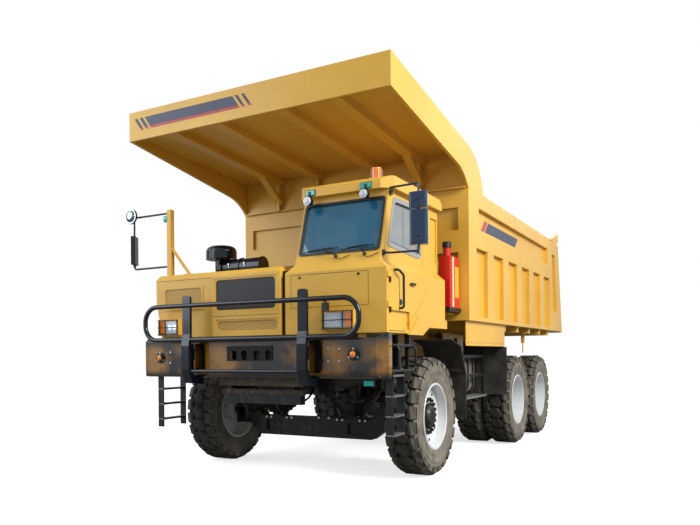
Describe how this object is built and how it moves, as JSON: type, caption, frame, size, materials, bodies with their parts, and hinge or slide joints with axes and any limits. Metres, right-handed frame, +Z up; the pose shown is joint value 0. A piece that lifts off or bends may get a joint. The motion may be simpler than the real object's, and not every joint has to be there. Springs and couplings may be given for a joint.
{
  "type": "rigid three-axle mining dump truck",
  "caption": "Rigid mining dump truck with an offset cab, a canopy over it, a ribbed tipping bed, a tube guard and twin rear wheels that roll, steer and tip",
  "frame": {"origin": "centre of the object's bounding box in plan, on the ground", "axes": "+Z is up, the truck faces -Y, +X is its left side, where the cab is"},
  "size_m": [4.4172, 9.2521, 4.75],
  "materials": {
    "yellow_paint": "gloss",
    "chassis_paint": "semi gloss",
    "spring_steel": "dull",
    "engine_paint": "semi gloss",
    "bumper_paint": "gloss, dirty",
    "guard_paint": "gloss",
    "grille_black": "satin",
    "air_cleaner_black": "satin",
    "mirror_housing": "gloss",
    "lamp_lens": "clear lens",
    "cab_glass": "clear",
    "interior_trim": "matt",
    "mudguard_rubber": "matt",
    "tyre_rubber": "matt, dusty",
    "rim_white": "gloss",
    "tank_grey": "semi gloss",
    "tank_red": "gloss",
    "hoist_paint": "semi gloss",
    "hoist_chrome": "polished"
  },
  "bodies": {
    "chassis": {"frame_rails": "chassis_paint", "frame_cross_members": "chassis_paint", "frame_brackets": "chassis_paint", "body_mounts": "chassis_paint", "front_axle": "chassis_paint", "leaf_springs": "spring_steel", "drive_axles": "chassis_paint", "power_train": "engine_paint", "bumper": "bumper_paint", "guard_frame": "guard_paint", "hood": "yellow_paint", "hood_grilles": "grille_black", "cab_shell": "yellow_paint", "cab_glass": "cab_glass", "cab_interior": "interior_trim", "lamps": "lamp_lens", "air_cleaner": "air_cleaner_black", "mirrors": "mirror_housing", "steps_and_guards": "chassis_paint", "front_mudguards": "mudguard_rubber", "side_equipment": "tank_grey", "tank_platform": "chassis_paint", "red_tank": "tank_red"},
    "knuckle_left": {"knuckle_left": "chassis_paint"},
    "knuckle_right": {"knuckle_right": "chassis_paint"},
    "tie_rod": {"tie_rod": "chassis_paint"},
    "front_wheel_left": {"front_tyre_left": "tyre_rubber", "front_rim_left": "rim_white"},
    "front_wheel_right": {"front_tyre_right": "tyre_rubber", "front_rim_right": "rim_white"},
    "middle_wheels_left": {"middle_tyres_left": "tyre_rubber", "middle_rims_left": "rim_white"},
    "middle_wheels_right": {"middle_tyres_right": "tyre_rubber", "middle_rims_right": "rim_white"},
    "rear_wheels_left": {"rear_tyres_left": "tyre_rubber", "rear_rims_left": "rim_white"},
    "rear_wheels_right": {"rear_tyres_right": "tyre_rubber", "rear_rims_right": "rim_white"},
    "bed": {"bed_tub": "yellow_paint", "bed_canopy": "yellow_paint", "bed_underframe": "yellow_paint", "bed_rubbers": "mudguard_rubber"},
    "tailgate": {"tailgate": "yellow_paint"},
    "cab_door": {"cab_door": "yellow_paint", "door_glass": "cab_glass"},
    "hoist_barrels": {"hoist_barrels": "hoist_paint"},
    "hoist_stage_1": {"hoist_stage_1": "hoist_chrome"},
    "hoist_stage_2": {"hoist_stage_2": "hoist_chrome"},
    "hoist_rods": {"hoist_rods": "hoist_chrome"}
  },
  "joints": [
    {"name": "steer_left", "type": "hinge", "parent": "chassis", "child": "knuckle_left", "pos_m": [1.2486, -2.856, 0.75], "axis": [0, 0, 1], "range_deg": [-35, 35]},
    {"name": "steer_right", "type": "hinge", "parent": "chassis", "child": "knuckle_right", "pos_m": [-1.1114, -2.856, 0.75], "axis": [0, 0, 1], "range_deg": [-35, 35]},
    {"name": "tie_rod_slide", "type": "slide", "parent": "chassis", "child": "tie_rod", "axis": [1, 0, 0], "range_m": [-0.14, 0.14]},
    {"name": "front_wheel_left_spin", "type": "hinge", "parent": "knuckle_left", "child": "front_wheel_left", "pos_m": [1.5986, -2.856, 0.75], "axis": [1, 0, 0], "continuous": true},
    {"name": "front_wheel_right_spin", "type": "hinge", "parent": "knuckle_right", "child": "front_wheel_right", "pos_m": [-1.4614, -2.856, 0.75], "axis": [1, 0, 0], "continuous": true},
    {"name": "middle_wheel_left_spin", "type": "hinge", "parent": "chassis", "child": "middle_wheels_left", "pos_m": [1.4586, 0.944, 0.75], "axis": [1, 0, 0], "continuous": true},
    {"name": "middle_wheel_right_spin", "type": "hinge", "parent": "chassis", "child": "middle_wheels_right", "pos_m": [-1.3214, 0.944, 0.75], "axis": [1, 0, 0], "continuous": true},
    {"name": "rear_wheel_left_spin", "type": "hinge", "parent": "chassis", "child": "rear_wheels_left", "pos_m": [1.4586, 2.654, 0.75], "axis": [1, 0, 0], "continuous": true},
    {"name": "rear_wheel_right_spin", "type": "hinge", "parent": "chassis", "child": "rear_wheels_right", "pos_m": [-1.3214, 2.654, 0.75], "axis": [1, 0, 0], "continuous": true},
    {"name": "bed_lift", "type": "hinge", "parent": "chassis", "child": "bed", "pos_m": [0.0686, 3.844, 1.7], "axis": [-1, 0, 0], "range_deg": [0, 45]},
    {"name": "tailgate_swing", "type": "hinge", "parent": "bed", "child": "tailgate", "pos_m": [0.0686, 4.204, 3.96], "axis": [1, 0, 0], "range_deg": [0, 60]},
    {"name": "cab_door_swing", "type": "hinge", "parent": "chassis", "child": "cab_door", "pos_m": [1.8011, -4.284, 2.2], "axis": [0, 0, -1], "range_deg": [0, 60]},
    {"name": "hoist_swing", "type": "hinge", "parent": "chassis", "child": "hoist_barrels", "pos_m": [0.0686, -0.156, 0.78], "axis": [1, 0, 0], "range_deg": [0, 1.6]},
    {"name": "hoist_slide_1", "type": "slide", "parent": "hoist_barrels", "child": "hoist_stage_1", "axis": [0, 0.4572, 0.8894], "range_m": [0, 0.882]},
    {"name": "hoist_slide_2", "type": "slide", "parent": "hoist_stage_1", "child": "hoist_stage_2", "axis": [0, 0.4572, 0.8894], "range_m": [0, 0.882]},
    {"name": "hoist_slide_3", "type": "slide", "parent": "hoist_stage_2", "child": "hoist_rods", "axis": [0, 0.4572, 0.8894], "range_m": [0, 0.882]}
  ],
  "couplings": [
    {"joint": "steer_right", "follows": "steer_left", "ratio": 1},
    {"joint": "tie_rod_slide", "follows": "steer_left", "m_per_rad": -0.225},
    {"joint": "hoist_swing", "follows": "bed_lift", "ratio": 0.033818},
    {"joint": "hoist_slide_1", "follows": "bed_lift", "m_per_rad": 1.1215},
    {"joint": "hoist_slide_2", "follows": "bed_lift", "m_per_rad": 1.1215},
    {"joint": "hoist_slide_3", "follows": "bed_lift", "m_per_rad": 1.1215}
  ]
}
